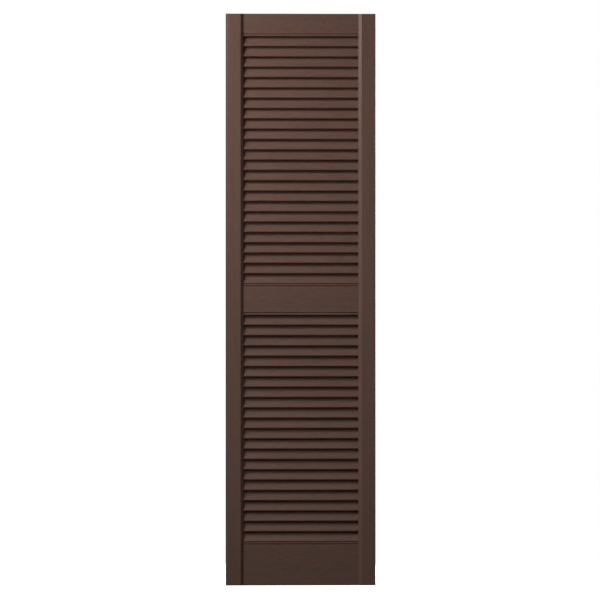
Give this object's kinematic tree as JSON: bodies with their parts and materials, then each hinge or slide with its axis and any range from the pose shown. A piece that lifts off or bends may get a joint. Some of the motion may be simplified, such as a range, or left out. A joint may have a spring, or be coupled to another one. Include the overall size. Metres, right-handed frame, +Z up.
{
  "type": "louvred shutter",
  "caption": "Louvred window shutter leaf: bevelled stiles, beaded top, mid and bottom rails, and fixed sloping slats housed in the stiles; fixed flat to a wall or hung on edge hinges.",
  "frame": {"origin": "middle of the mid rail's back face, which lies against the wall; it is also the middle of the leaf's height and width", "axes": "+Z up, +X to the right as seen from in front, the front faces -Y and +Y points into the wall"},
  "size_m": [0.368, 0.03, 1.4066],
  "materials": {
    "brown_finish": "satin opaque dark brown exterior finish over faint wood grain",
    "dowel_wood": "bare beech"
  },
  "bodies": {
    "root": {"left_stile": "brown_finish", "right_stile": "brown_finish", "top_rail": "brown_finish", "mid_rail": "brown_finish", "bottom_rail": "brown_finish", "slat_upper_01": "brown_finish", "slat_upper_02": "brown_finish", "slat_upper_03": "brown_finish", "slat_upper_04": "brown_finish", "slat_upper_05": "brown_finish", "slat_upper_06": "brown_finish", "slat_upper_07": "brown_finish", "slat_upper_08": "brown_finish", "slat_upper_09": "brown_finish", "slat_upper_10": "brown_finish", "slat_upper_11": "brown_finish", "slat_upper_12": "brown_finish", "slat_upper_13": "brown_finish", "slat_upper_14": "brown_finish", "slat_upper_15": "brown_finish", "slat_upper_16": "brown_finish", "slat_upper_17": "brown_finish", "slat_upper_18": "brown_finish", "slat_upper_19": "brown_finish", "slat_upper_20": "brown_finish", "slat_upper_21": "brown_finish", "slat_upper_22": "brown_finish", "slat_upper_23": "brown_finish", "slat_upper_24": "brown_finish", "slat_lower_01": "brown_finish", "slat_lower_02": "brown_finish", "slat_lower_03": "brown_finish", "slat_lower_04": "brown_finish", "slat_lower_05": "brown_finish", "slat_lower_06": "brown_finish", "slat_lower_07": "brown_finish", "slat_lower_08": "brown_finish", "slat_lower_09": "brown_finish", "slat_lower_10": "brown_finish", "slat_lower_11": "brown_finish", "slat_lower_12": "brown_finish", "slat_lower_13": "brown_finish", "slat_lower_14": "brown_finish", "slat_lower_15": "brown_finish", "slat_lower_16": "brown_finish", "slat_lower_17": "brown_finish", "slat_lower_18": "brown_finish", "slat_lower_19": "brown_finish", "slat_lower_20": "brown_finish", "slat_lower_21": "brown_finish", "slat_lower_22": "brown_finish", "top_rail_dowels": "dowel_wood", "mid_rail_dowels": "dowel_wood", "bottom_rail_dowels": "dowel_wood"}
  },
  "joints": []
}
